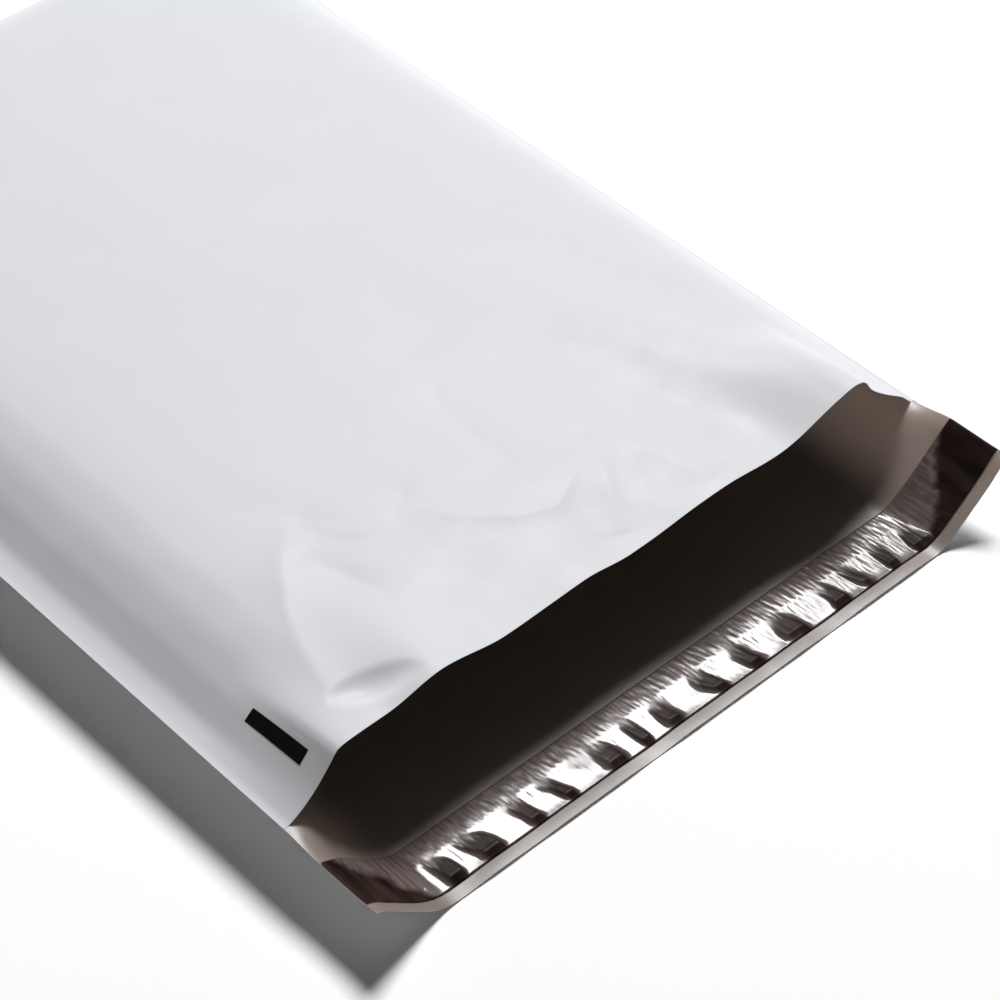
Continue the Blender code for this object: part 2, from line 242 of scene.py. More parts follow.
class Bag:
    """The laws that the lying bag follows, from its settings."""

    def __init__(self, film):
        self.depth = film.pouch_depth
        self.flap = film.flap_length
        self.gauge = film.gauge
        self.weld = film.weld_width
        self.seam = film.seam_height
        self.folding = film.fold_strength
        self.half_open = film.flat_width / 2 - SIDE_DRAW
        self.mouth_y = CAD_BOX[0].y + film.flap_length

    def half_width(self, along):
        """Half the width: the open mouth draws the sides in."""
        return self.half_open + SIDE_DRAW * float(ease((along - (self.depth - CORNER_REACH)) / CORNER_REACH))

    @staticmethod
    def profile(left, crown, right, margin, edge, x, half):
        """A profile across the bag. Its side lists start a margin in from the sides, and it ends at edge."""
        points = [(margin + a - half, value) for a, value in left]
        points += [(share * half, value) for share, value in crown]
        points += [(half - margin - b, value) for b, value in right]
        if margin > 0.0:
            points = [(-half, edge)] + points + [(half, edge)]
        return curve(points, x)

    def crest(self, x, along):
        """Height of the long soft crest over the rest of the front panel."""
        middle = self.half_open - CREST_FROM_EDGE - CREST_LEAN * along
        fade = ease(1.0 - along / CREST_REACH)
        return CREST_RISE * fade * np.exp(-((x - middle) / CREST_SPREAD) ** 2)

    def front(self, x, along):
        """Height of the front panel's inner face, without its small folds, at each x of one row."""
        half = self.half_width(along)
        lip = self.profile(LIP_LEFT, LIP_CROWN, LIP_RIGHT, self.weld, 0.0, x, half)
        body = self.profile(BODY_LEFT, BODY_CROWN, BODY_RIGHT, self.weld, 0.0, x, half)
        body = body + self.crest(x, along) * ease((half - np.abs(x)) / CREST_FROM_EDGE)
        rise = lip + (body - lip) * ease(along / MOUTH_REACH)
        from_end = min(max(self.depth - along, 0.0) / END_REACH, 1.0)
        return self.seam + rise * math.sin(0.5 * math.pi * from_end) ** END_ROUNDNESS

    def back(self, x, along):
        """Height of the back panel's upper face at each x of one row."""
        half = self.half_width(along)
        weld = POUCH_SIDE[0][1]
        pouch = self.profile(POUCH_SIDE, (), POUCH_SIDE[::-1], self.weld, weld, x, half)
        flap = self.profile(FLAP_LEFT, (), FLAP_RIGHT, 0.0, 0.0, x, half)
        share = (pouch + (flap - pouch) * ease(-along / FLAP_BLEND)) / weld
        foot = 1.0 - ease((self.depth - along) / FOOT_REACH)
        level = self.gauge + (self.seam - self.gauge) * (share + (1.0 - share) * foot)
        waves = sum(np.sin(2.0 * math.pi * x / length + phase) for length, phase in HEM_WAVES)
        loose = ease(1.0 - (self.flap + along) / HEM_REACH)
        return level + HEM_RISE * loose * (0.5 + waves / (2 * len(HEM_WAVES)))

    def plan(self, share, along):
        """Y of a point: the closed end bows in at its middle."""
        near_end = ease((along / self.depth - END_DRAW_START) / (1.0 - END_DRAW_START))
        bow = END_DRAW * (1.0 - share * share) * near_end
        return self.mouth_y + along - bow

    def folds(self, x, along):
        """Height that folds and cockle give the front panel at each point of a grid."""
        calm = ease((self.half_open - np.abs(x)) / FOLD_MARGIN)
        sharp = sum(pleat_rise(p, x, along) for p in PLEATS) + sum(dent_rise(d, x, along) for d in DENTS)
        return self.folding * calm * (sharp * ease((along + LIP_START) / LIP_MARGIN) + cockle_rise(x, along))

    def panel(self, rows, shares, height, extra=None):
        """Grid of points of a panel's inner face. Columns are shares of the half width."""
        grid = np.zeros((len(rows), len(shares), 3))
        for n, along in enumerate(rows):
            x = shares * self.half_width(along)
            grid[n, :, 0], grid[n, :, 1], grid[n, :, 2] = x, self.plan(shares, along), height(x, along)
        if extra is not None:
            grid[:, :, 2] += extra(grid[:, :, 0], np.repeat(np.array(rows)[:, None], len(shares), axis=1))
        return grid


def pleat_rise(pleat, x, along):
    """Height of one fold at each point: a crease along a line, with its own slope on each side."""
    points, height, left_reach, right_reach = pleat
    line = np.array(points)
    lengths = np.hypot(*np.diff(line, axis=0).T)
    starts = np.concatenate(([0.0], np.cumsum(lengths)))
    nearest, rise = np.full(x.shape, np.inf), np.zeros(x.shape)
    for first, second, length, start in zip(line[:-1], line[1:], lengths, starts):
        direction = (second - first) / length
        dx, dy = x - first[0], along - first[1]
        run = np.clip(dx * direction[0] + dy * direction[1], 0.0, length)
        distance = np.hypot(dx - run * direction[0], dy - run * direction[1])
        reach = np.where(direction[0] * dy - direction[1] * dx > 0.0, left_reach, right_reach)
        fade = np.sin(math.pi * np.clip((start + run) / starts[-1], 0.0, 1.0)) ** FOLD_TAPER
        here = height * fade * np.exp(-distance / reach)
        rise = np.where(distance < nearest, here, rise)
        nearest = np.minimum(nearest, distance)
    return rise


def dent_rise(dent, x, along):
    """Height of one dent at each point, below zero inside its creased rim where the depth is above zero."""
    (cx, cy), (rx, ry), turn, depth = dent
    c, s = math.cos(math.radians(turn)), math.sin(math.radians(turn))
    u = ((x - cx) * c + (along - cy) * s) / rx
    v = ((along - cy) * c - (x - cx) * s) / ry
    return -depth * np.maximum(1.0 - u * u - v * v, 0.0)


def cockle_rise(x, along):
    """Low waves in random directions, always the same ones, strongest by the mouth."""
    draw = np.random.default_rng(COCKLE_SEED)
    total = np.zeros(x.shape)
    for _ in range(COCKLE_WAVES):
        length = draw.uniform(*COCKLE_LENGTHS)
        angle = draw.uniform(0.0, math.pi)
        phase = draw.uniform(0.0, 2.0 * math.pi)
        run = x * math.cos(angle) + along * math.sin(angle)
        total += np.sin(2.0 * math.pi * run / length + phase) * length / COCKLE_LENGTHS[1]
    return COCKLE_RISE * total * (1.0 - COCKLE_LOSS * ease(along / COCKLE_REACH))


def grid_faces(numbers, upward):
    """Quads over a grid of vertex numbers, all cut along the same diagonals."""
    a, b = numbers[:-1, :-1].ravel(), numbers[:-1, 1:].ravel()
    c, d = numbers[1:, 1:].ravel(), numbers[1:, :-1].ravel()
    return np.stack((a, b, c, d) if upward else (a, d, c, b), axis=1)


def strip_faces(first, second):
    """Quads between two equally long rows of vertex numbers."""
    return np.stack((first[:-1], first[1:], second[1:], second[:-1]), axis=1)


def joining_faces(coarse, fine, kept):
    """Faces between a coarse row and a fine one, which has a point above each coarse one at kept."""
    return [(coarse[n], coarse[n + 1], *fine[kept[n]:kept[n + 1] + 1][::-1])
            for n in range(len(coarse) - 1)]


class Piece:
    """Collects the points and faces of one piece, with a material number for each face."""

    def __init__(self):
        self.points, self.faces, self.finishes = [], [], []
        self.count = 0

    def add(self, points):
        """Add a grid or row of points and return their numbers in the same layout."""
        points = np.asarray(points)
        numbers = self.count + np.arange(points[..., 0].size)
        self.points.append(points.reshape(-1, 3))
        self.count += numbers.size
        return numbers.reshape(points.shape[:-1])

    def cover(self, faces, finish=0):
        """Add faces that have one finish."""
        self.faces.extend([int(number) for number in face] for face in faces)
        self.finishes.extend([finish] * len(faces))

    def make(self, name, materials):
        """The piece as a smooth mesh object at the origin."""
        mesh = bpy.data.meshes.new(name)
        mesh.from_pydata(np.concatenate(self.points).tolist(), [], self.faces)
        for finish in materials:
            mesh.materials.append(finish)
        mesh.polygons.foreach_set("material_index", self.finishes)
        mesh.shade_smooth()
        mesh.set_sharp_from_angle(angle=SHARP_ANGLE)
        made = bpy.data.objects.new(name, mesh)
        bpy.context.scene.collection.objects.link(made)
        return made


def thin_layer(name, base, lift, thickness, finish):
    """Closed thin layer over a grid: its lower face at lift, its upper face thickness above."""
    piece = Piece()
    lower = piece.add(offset(base, lift))
    upper = piece.add(offset(base, lift + thickness))
    piece.cover(grid_faces(upper, True))
    piece.cover(grid_faces(lower, False))
    piece.cover(strip_faces(lower[0], upper[0]))
    piece.cover(strip_faces(upper[-1], lower[-1]))
    piece.cover(strip_faces(upper[:, 0], lower[:, 0]))
    piece.cover(strip_faces(lower[:, -1], upper[:, -1]))
    return piece.make(name, [finish])


def add_node(tree, kind, inputs=None, **settings):
    """A node with its settings. Each input is a value, or the socket that it is linked from."""
    node = tree.nodes.new(kind)
    for name, value in settings.items():
        setattr(node, name, value)
    for key, value in (inputs or {}).items():
        if isinstance(value, bpy.types.NodeSocket):
            tree.links.new(value, node.inputs[key])
        else:
            node.inputs[key].default_value = value
    return node


def principled(name, **constants):
    """A new material with its tree, its Principled shader and that shader's constant inputs."""
    made = bpy.data.materials.new(name)
    made.use_nodes = True
    shader = made.node_tree.nodes["Principled BSDF"]
    for key, value in constants.items():
        shader.inputs[key.replace("_", " ")].default_value = value
    return made, made.node_tree, shader


def film_material(name, colour, cloud, gloss, line_depth, **constants):
    """Blown polyethylene film. Shared by both faces: cloudy pigment, die lines and a satin sheen."""
    made, tree, shader = principled(name, IOR=1.51, **constants)
    place = add_node(tree, "ShaderNodeTexCoord").outputs["Object"]

    # Pigment clouds about 25 mm wide, a hardly visible change of tone
    clouds = add_node(tree, "ShaderNodeTexNoise", {"Vector": place, "Scale": 40.0, "Detail": 2.0})
    tone = add_node(tree, "ShaderNodeMapRange", {"Value": clouds.outputs["Fac"], "From Min": 0.3,
                                                 "From Max": 0.7, "To Min": 1.0 - cloud, "To Max": 1.0})
    tint = add_node(tree, "ShaderNodeHueSaturation", {"Value": tone.outputs["Result"],
                                                      "Color": (*colour, 1.0)})
    tree.links.new(tint.outputs["Color"], shader.inputs["Base Color"])

    # The sheen is a little uneven over patches of 8 mm
    patches = add_node(tree, "ShaderNodeTexNoise", {"Vector": place, "Scale": 125.0, "Detail": 3.0})
    sheen = add_node(tree, "ShaderNodeMapRange", {"Value": patches.outputs["Fac"], "From Min": 0.3,
                                                  "From Max": 0.7, "To Min": gloss[0], "To Max": gloss[1]})
    tree.links.new(sheen.outputs["Result"], shader.inputs["Roughness"])

    # Die lines run along the film: 1.5 mm apart, the real ones being finer, and 60 mm long
    drawn = add_node(tree, "ShaderNodeMapping", {"Vector": place, "Scale": (670.0, 16.0, 670.0)})
    lines = add_node(tree, "ShaderNodeTexNoise", {"Vector": drawn.outputs["Vector"], "Scale": 1.0,
                                                  "Detail": 2.0})
    relief = add_node(tree, "ShaderNodeBump", {"Height": lines.outputs["Fac"], "Distance": line_depth})
    tree.links.new(relief.outputs["Normal"], shader.inputs["Normal"])
    return made


def white_film(colour):
    """Outer face: polyethylene filled with titanium white.

    To the eye a cool, even white with a satin sheen that widens each highlight.
    """
    return film_material("polyethylene_film_blown_white", colour, 0.015, (0.37, 0.43), 0.000012,
                         Specular_IOR_Level=0.11)


def lining_film(colour):
    """Inner face: polyethylene pigmented grey-brown, so that nothing shows through the bag.

    To the eye a warm grey where light reaches it, which turns a deep brown inside the pouch. A little
    light comes through the film, so that the wall that faces the lamp glows brown from within.
    """
    return film_material("polyethylene_film_blown_taupe", colour, 0.06, (0.34, 0.40), 0.00002,
                         Specular_IOR_Level=0.42, Subsurface_Weight=0.6, Subsurface_Scale=0.0006,
                         Subsurface_Radius=(1.0, 0.90, 0.84))


def liner_material(colour, wet_and_shade_colour):
    """Release liner: thin cast film, siliconised, over the dark adhesive.

    To the eye a glassy gloss: white glints with soft edges on a brown ground. The ground is taupe where the
    film stands off the adhesive, with fine paler lines that are painted glints of its wrinkles, and almost
    black where it touches; this dark colour is also painted as shade in the gaps between the bubbles.
    """
    made, tree, shader = principled("polypropylene_liner_siliconised", IOR=1.50)
    place = add_node(tree, "ShaderNodeUVMap", uv_map="UVMap").outputs["UV"]

    # Painted glints of the fine wrinkles: paler lines across the strip, 1.2 mm apart
    drawn = add_node(tree, "ShaderNodeMapping", {"Vector": place, "Scale": (830.0, 60.0, 1.0)})
    lines = add_node(tree, "ShaderNodeTexNoise", {"Vector": drawn.outputs["Vector"], "Scale": 1.0,
                                                  "Detail": 2.0})
    tone = add_node(tree, "ShaderNodeMapRange", {"Value": lines.outputs["Fac"], "From Min": 0.3,
                                                 "From Max": 0.7, "To Min": 0.6, "To Max": 1.6})
    tint = add_node(tree, "ShaderNodeHueSaturation", {"Value": tone.outputs["Result"],
                                                      "Color": (*colour, 1.0)})

    # Where the film touches the adhesive: slanting streaks 4 mm wide in the dark ground, which is also
    # painted as shade in the gaps between the bubbles
    slant = add_node(tree, "ShaderNodeMapping", {"Vector": place, "Rotation": (0.0, 0.0, 0.5),
                                                 "Scale": (260.0, 50.0, 1.0)})
    streaks = add_node(tree, "ShaderNodeTexNoise", {"Vector": slant.outputs["Vector"], "Scale": 1.0,
                                                    "Detail": 2.0})
    wet_and_shade_tone = add_node(tree, "ShaderNodeMapRange", {"Value": streaks.outputs["Fac"], "From Min": 0.35,
                                                     "From Max": 0.7, "To Min": 0.5, "To Max": 2.2})
    wet_and_shade = add_node(tree, "ShaderNodeHueSaturation", {"Value": wet_and_shade_tone.outputs["Result"],
                                                     "Color": (*wet_and_shade_colour, 1.0)})
    apart_unshaded = add_node(tree, "ShaderNodeAttribute", attribute_name="apart_unshaded").outputs["Fac"]
    ground = add_node(tree, "ShaderNodeMix", {0: apart_unshaded, 6: wet_and_shade.outputs["Color"],
                                              7: tint.outputs["Color"]}, data_type="RGBA")
    tree.links.new(ground.outputs[2], shader.inputs["Base Color"])

    # Pressed into the adhesive the film takes its unevenness, and the gloss is weak and broad there; the
    # painted shade between the bubbles gets the same weak gloss
    haze = add_node(tree, "ShaderNodeMapRange", {"Value": apart_unshaded, "To Min": 0.30,
                                                 "To Max": 0.17})
    tree.links.new(haze.outputs["Result"], shader.inputs["Roughness"])
    strength = add_node(tree, "ShaderNodeMapRange", {"Value": apart_unshaded, "To Min": 0.03,
                                                     "To Max": 0.30})
    tree.links.new(strength.outputs["Result"], shader.inputs["Specular IOR Level"])
    return made


def adhesive_material(colour):
    """Hot-melt adhesive, slot coated: a tacky gloss with low ripples across the band."""
    made, tree, shader = principled("hot_melt_slot_coated", Roughness=0.22, IOR=1.48)
    place = add_node(tree, "ShaderNodeTexCoord").outputs["Object"]
    ripple = add_node(tree, "ShaderNodeTexNoise", {"Vector": place, "Scale": 500.0, "Detail": 2.0})
    tone = add_node(tree, "ShaderNodeMapRange", {"Value": ripple.outputs["Fac"], "To Min": 0.85,
                                                 "To Max": 1.1})
    tint = add_node(tree, "ShaderNodeHueSaturation", {"Value": tone.outputs["Result"],
                                                      "Color": (*colour, 1.0)})
    tree.links.new(tint.outputs["Color"], shader.inputs["Base Color"])
    relief = add_node(tree, "ShaderNodeBump", {"Height": ripple.outputs["Fac"], "Distance": 0.00005})
    tree.links.new(relief.outputs["Normal"], shader.inputs["Normal"])
    return made


def ink_material(colour):
    """Black flexographic ink: dense and nearly flat, a little thin where the plate's cells show.

    The cells are drawn at 0.4 mm, coarser than the real ones, to show at all.
    """
    made, tree, shader = principled("flexographic_ink_black", Roughness=0.42, IOR=1.50,
                                    Specular_IOR_Level=0.03)
    place = add_node(tree, "ShaderNodeTexCoord").outputs["Object"]
    cells = add_node(tree, "ShaderNodeTexNoise", {"Vector": place, "Scale": 2500.0, "Detail": 1.0})
    tone = add_node(tree, "ShaderNodeMapRange", {"Value": cells.outputs["Fac"], "To Min": 0.7,
                                                 "To Max": 1.5})
    tint = add_node(tree, "ShaderNodeHueSaturation", {"Value": tone.outputs["Result"],
                                                      "Color": (*colour, 1.0)})
    tree.links.new(tint.outputs["Color"], shader.inputs["Base Color"])
    return made


def liner_tree():
    """Geometry Nodes that pucker a smooth strip and give it its thickness.

    The strip's UV map holds, in metres, the run along the strip and the distance from its mouth side. The
    result has an attribute for the material, from 0 where the adhesive holds the film, and in the gaps
    between the bubbles where it paints shade, to 1 where the film hangs free.
    """
    tree = bpy.data.node_groups.new("Puckered Liner", "GeometryNodeTree")
    face = tree.interface
    face.new_socket("Geometry", in_out="INPUT", socket_type="NodeSocketGeometry")
    for name in ("Strip Length", "Strip Width", "Bubble Pitch", "Bubble Rise", "Bubble Lean", "Bubble Start",
                 "Wrinkle Pitch", "Wrinkle Rise", "Flat End", "Thickness", "Seed"):
        face.new_socket(name, in_out="INPUT", socket_type="NodeSocketFloat")
    face.new_socket("Finish", in_out="INPUT", socket_type="NodeSocketMaterial")
    face.new_socket("Geometry", in_out="OUTPUT", socket_type="NodeSocketGeometry")
    given = add_node(tree, "NodeGroupInput").outputs

    def calc(operation, *values):
        return add_node(tree, "ShaderNodeMath", dict(enumerate(values)), operation=operation).outputs[0]

    def step(value, start, stop):
        node = add_node(tree, "ShaderNodeMapRange", {"Value": value, "From Min": start, "From Max": stop},
                        interpolation_type="SMOOTHSTEP")
        return node.outputs["Result"]

    def noise(across, along, shift, detail):
        spot = add_node(tree, "ShaderNodeCombineXYZ", {"X": across, "Y": along})
        node = add_node(tree, "ShaderNodeTexNoise", {
            "Vector": spot.outputs["Vector"], "W": calc("ADD", given["Seed"], shift), "Scale": 1.0,
            "Detail": detail}, noise_dimensions="4D")
        return calc("SUBTRACT", node.outputs["Fac"], 0.5)

    place = add_node(tree, "GeometryNodeInputNamedAttribute", {"Name": "UVMap"}, data_type="FLOAT_VECTOR")
    split = add_node(tree, "ShaderNodeSeparateXYZ", {"Vector": place.outputs["Attribute"]})
    run, down = split.outputs["X"], split.outputs["Y"]
    share = calc("DIVIDE", down, given["Strip Width"])
    leaning = calc("MULTIPLY_ADD", down, given["Bubble Lean"], run)
    past = add_node(tree, "ShaderNodeMapRange", {"Value": share, "From Min": given["Bubble Start"],
                                                 "From Max": 1.0}).outputs["Result"]

    # Streaks down the strip, which shape the wrinkles and the bubbles' ragged heads
    fine = noise(calc("DIVIDE", leaning, given["Wrinkle Pitch"]),
                 calc("DIVIDE", down, calc("MULTIPLY", given["Wrinkle Pitch"], 5.0)), 9.0, 1.0)

    # Bubbles at an uneven pitch, which join in the upper part and fall more steeply below it
    drift = calc("MULTIPLY", noise(calc("MULTIPLY", run, 45.0), calc("MULTIPLY", down, 30.0), 0.0, 1.0),
                 0.026)
    turn = calc("MULTIPLY", calc("DIVIDE", calc("ADD", leaning, drift), given["Bubble Pitch"]), 2.0 * math.pi)
    swing = calc("ADD", calc("COSINE", turn),
                 calc("MULTIPLY", noise(calc("MULTIPLY", run, 90.0), calc("MULTIPLY", down, 60.0), 5.0, 2.0),
                      2.4))
    bubble = step(swing, -0.75, 0.15)
    top = calc("MULTIPLY_ADD", past, 0.06, 1.0)
    ragged = calc("MULTIPLY", fine, calc("MULTIPLY_ADD", share, -0.5, 0.5))
    below = add_node(tree, "ShaderNodeMapRange", {"Value": calc("ADD", ragged, past),
                                                  "From Min": 0.33, "From Max": 1.0}).outputs["Result"]
    dome = calc("MULTIPLY_ADD", below, -0.90, top)

    # Between them the film stays high up to its lower edge; these gaps get the dark ground's colour as
    # painted shade
    gap = calc("MULTIPLY_ADD", below, 0.25, calc("MULTIPLY_ADD", step(past, 0.84, 1.0), -1.15, top))
    swell = calc("MULTIPLY_ADD", bubble, calc("SUBTRACT", dome, gap), gap)
    pillow = calc("MULTIPLY", swell, given["Bubble Rise"])
    # Painted shade: the gaps between the bubbles, below their ragged heads, take the dark ground's colour
    gap_shade = calc("MULTIPLY", step(calc("MULTIPLY_ADD", fine, 0.5, past), 0.25, 0.60),
                calc("SUBTRACT", 1.0, bubble))

    # Fine wrinkles in the half by the mouth, with a ragged end
    fade = step(calc("MULTIPLY_ADD", fine, 0.6, share), 0.72, 0.38)
    wrinkles = calc("MULTIPLY", calc("MULTIPLY", fine, given["Wrinkle Rise"]),
                    calc("MULTIPLY_ADD", fade, 0.88, 0.12))

    # At both ends the film lies flat on the adhesive, up to an irregular slanting line
    to_end = calc("SUBTRACT", calc("MULTIPLY", given["Strip Length"], 0.5), calc("ABSOLUTE", run))
    border = noise(calc("MULTIPLY", run, 110.0), calc("MULTIPLY", down, 160.0), 2.0, 2.0)
    flat = calc("MULTIPLY", given["Flat End"], calc("MULTIPLY_ADD", share, 1.3, 0.2))
    inward = calc("SUBTRACT", calc("MULTIPLY_ADD", border, 0.012, to_end), flat)
    loose = step(inward, -0.0015, 0.0025)
    rise = calc("MULTIPLY", loose, calc("ADD", pillow, wrinkles))
    # 0 at the flat ends, where the film touches, and in the gaps, where shade is painted
    apart_unshaded = calc("MULTIPLY", loose, calc("SUBTRACT", 1.0, gap_shade))

    normal = add_node(tree, "GeometryNodeInputNormal").outputs["Normal"]
    lift = add_node(tree, "ShaderNodeVectorMath", {0: normal, "Scale": rise}, operation="SCALE")
    noted = add_node(tree, "GeometryNodeStoreNamedAttribute", {"Geometry": given["Geometry"], "Name": "apart_unshaded",
                                                               "Value": apart_unshaded})
    raised = add_node(tree, "GeometryNodeSetPosition", {"Geometry": noted.outputs["Geometry"],
                                                        "Offset": lift.outputs["Vector"]})

    # Thickness: a raised copy of the skin with its sides, and the skin itself turned over below it
    upper = add_node(tree, "GeometryNodeExtrudeMesh", {"Mesh": raised.outputs["Geometry"],
                                                       "Offset Scale": given["Thickness"],
                                                       "Individual": False}, mode="FACES")
    lower = add_node(tree, "GeometryNodeFlipFaces", {"Mesh": raised.outputs["Geometry"]})
    both = add_node(tree, "GeometryNodeJoinGeometry")
    tree.links.new(upper.outputs["Mesh"], both.inputs[0])
    tree.links.new(lower.outputs["Mesh"], both.inputs[0])
    closed = add_node(tree, "GeometryNodeMergeByDistance", {"Geometry": both.outputs["Geometry"],
                                                            "Distance": 0.000001})
    smooth = add_node(tree, "GeometryNodeSetShadeSmooth", {"Geometry": closed.outputs["Geometry"]})
    real = add_node(tree, "GeometryNodeRealizeInstances", {"Geometry": smooth.outputs["Geometry"]})
    finished = add_node(tree, "GeometryNodeSetMaterial", {"Geometry": real.outputs["Geometry"],
                                                          "Material": given["Finish"]})
    add_node(tree, "NodeGroupOutput", {"Geometry": finished.outputs["Geometry"]})
    return tree


def apply_tree(piece, tree, values):
    """Run a Geometry Nodes tree on a piece with the named values, and keep the result as a plain mesh."""
    modifier = piece.modifiers.new(tree.name, "NODES")
    modifier.node_group = tree
    for item in tree.interface.items_tree:
        if item.item_type == "SOCKET" and item.in_out == "INPUT" and item.name in values:
            modifier[item.identifier] = values[item.name]
    graph = bpy.context.evaluated_depsgraph_get()
    mesh = bpy.data.meshes.new_from_object(piece.evaluated_get(graph))
    piece.modifiers.remove(modifier)
    mesh.name = piece.name
    piece.data = mesh


def film_columns(bag):
    """The film's columns as shares of the half width, those that the back keeps, and how many are welded."""
    half = bag.half_open
    side = spaced((0.0, bag.weld, WELD_STEP), (bag.weld, SLOPE_REACH, PANEL_STEP),
                  (SLOPE_REACH, half, PANEL_STEP)) / half
    shares = np.concatenate((side - 1.0, 1.0 - side[-2::-1]))
    weld = int(np.argmin(np.abs(side - bag.weld / half)))
    crown = int(np.argmin(np.abs(side - SLOPE_REACH / half)))
    left = [0, *range(weld, crown, SLOPE_SKIP), *range(crown, len(side) - 1, CROWN_SKIP)]
    kept = np.array([*left, len(side) - 1, *(len(shares) - 1 - n for n in reversed(left))])
    return shares, kept, weld + 1


def film_rows(bag):
    """The pouch's rows, closer together by the mouth, where the folds are, and at the closed end."""
    starts = [bag.depth - distance for distance, _ in END_STRETCHES]
    stops = [*starts[1:], bag.depth]
    closing = [(start, stop, step) for start, stop, (_, step) in zip(starts, stops, END_STRETCHES)]
    return spaced((0.0, FOLDED_REACH, FOLDED_STEP), (FOLDED_REACH, starts[0], PLAIN_STEP), *closing)


class FilmSettings(bpy.types.PropertyGroup):
    """Sizes and colours of the film."""

    flat_width: bpy.props.FloatProperty(
        name="Flat width", description="Width of the bag when it is pressed flat",
        default=CAD_BOX[1].x - CAD_BOX[0].x, min=0.1, max=0.6, unit="LENGTH", subtype="DISTANCE")
    flap_length: bpy.props.FloatProperty(
        name="Flap length", description="From the mouth to the flap's edge",
        default=FLAP_LENGTH, min=0.025, max=0.08, unit="LENGTH", subtype="DISTANCE")
    pouch_depth: bpy.props.FloatProperty(
        name="Pouch depth", description="From the mouth to the closed end",
        default=CAD_BOX[1].y - CAD_BOX[0].y - FLAP_LENGTH, min=0.2, max=0.7, unit="LENGTH",
        subtype="DISTANCE")
    gauge: bpy.props.FloatProperty(
        name="Film thickness", description="Thickness of one layer of film",
        default=0.0001, min=0.00005, max=0.0003, precision=5, unit="LENGTH", subtype="DISTANCE")
    weld_width: bpy.props.FloatProperty(
        name="Weld width", description="Width of the heat-welded band along each side",
        default=0.0015, min=0.001, max=0.012, unit="LENGTH", subtype="DISTANCE")
    seam_height: bpy.props.FloatProperty(
        name="Weld height", description="Height at which the side welds stand over the surface",
        default=0.019, min=0.002, max=0.05, unit="LENGTH", subtype="DISTANCE")
    fold_strength: bpy.props.FloatProperty(
        name="Folds", description="How strongly the folds and cockle of the front show",
        default=0.75, min=0.0, max=2.0, subtype="FACTOR")
    white: bpy.props.FloatVectorProperty(
        name="Outside", description="Colour of the film's outer face",
        default=linear("E0E2E7"), min=0.0, max=1.0, subtype="COLOR")
    lining: bpy.props.FloatVectorProperty(
        name="Inside", description="Colour of the film's inner face",
        default=linear("80766F"), min=0.0, max=1.0, subtype="COLOR")


class FlapSettings(bpy.types.PropertyGroup):
    """Sizes and colours of what lies on the flap."""

    hem: bpy.props.FloatProperty(
        name="Hem", description="Bare film between the liner and the flap's edge",
        default=0.004, min=0.0, max=0.02, unit="LENGTH", subtype="DISTANCE")
    band_width: bpy.props.FloatProperty(
        name="Liner width", description="Width of the peel-off liner",
        default=0.018, min=0.008, max=0.04, unit="LENGTH", subtype="DISTANCE")
    end_gap: bpy.props.FloatProperty(
        name="Liner end gap", description="From each end of the liner to the bag's side",
        default=0.0003, min=0.0, max=0.02, unit="LENGTH", subtype="DISTANCE")
    flat_end: bpy.props.FloatProperty(
        name="Flat end", description="Length over which each end of the liner lies flat on the adhesive",
        default=0.0165, min=0.0, max=0.05, unit="LENGTH", subtype="DISTANCE")
    liner_gauge: bpy.props.FloatProperty(
        name="Liner thickness", description="Thickness of the liner",
        default=0.00012, min=0.00003, max=0.0003, precision=5, unit="LENGTH", subtype="DISTANCE")
    adhesive_width: bpy.props.FloatProperty(
        name="Adhesive width", description="Width of the adhesive band under the liner",
        default=0.014, min=0.004, max=0.03, unit="LENGTH", subtype="DISTANCE")
    adhesive_gauge: bpy.props.FloatProperty(
        name="Adhesive thickness", description="Thickness of the adhesive band",
        default=0.00015, min=0.00005, max=0.0005, precision=5, unit="LENGTH", subtype="DISTANCE")
    adhesive_end_gap: bpy.props.FloatProperty(
        name="Adhesive end gap", description="From each end of the adhesive to the bag's side",
        default=0.006, min=0.0, max=0.03, unit="LENGTH", subtype="DISTANCE")
    bubble_pitch: bpy.props.FloatProperty(
        name="Bubble pitch", description="Distance from one bubble of the liner to the next",
        default=0.0145, min=0.004, max=0.05, unit="LENGTH", subtype="DISTANCE")
    bubble_rise: bpy.props.FloatProperty(
        name="Bubble rise", description="How far the bubbles stand off the adhesive",
        default=0.0010, min=0.0, max=0.003, precision=5, unit="LENGTH", subtype="DISTANCE")
    wrinkle_pitch: bpy.props.FloatProperty(
        name="Wrinkle pitch", description="Distance between the fine wrinkles by the mouth",
        default=0.0012, min=0.0005, max=0.005, precision=5, unit="LENGTH", subtype="DISTANCE")
    wrinkle_rise: bpy.props.FloatProperty(
        name="Wrinkle rise", description="Height of the fine wrinkles",
        default=0.00026, min=0.0, max=0.001, precision=5, unit="LENGTH", subtype="DISTANCE")
    seed: bpy.props.FloatProperty(
        name="Seed", description="Another value gives other puckers", default=3.0, min=0.0, max=100.0)
    # The fine paler lines that the material draws in this colour are painted glints of the wrinkles
    liner: bpy.props.FloatVectorProperty(
        name="Liner", description="Colour of the liner where it stands off the adhesive",
        default=linear("5E5250"), min=0.0, max=1.0, subtype="COLOR")
    # This colour is also painted as shade in the gaps between the bubbles
    wet_and_shade: bpy.props.FloatVectorProperty(
        name="Wet liner", description="Colour of the liner where it touches the adhesive",
        default=linear("241A17"), min=0.0, max=1.0, subtype="COLOR")
    adhesive: bpy.props.FloatVectorProperty(
        name="Adhesive", description="Colour of the hot-melt adhesive",
        default=linear("665A52"), min=0.0, max=1.0, subtype="COLOR")


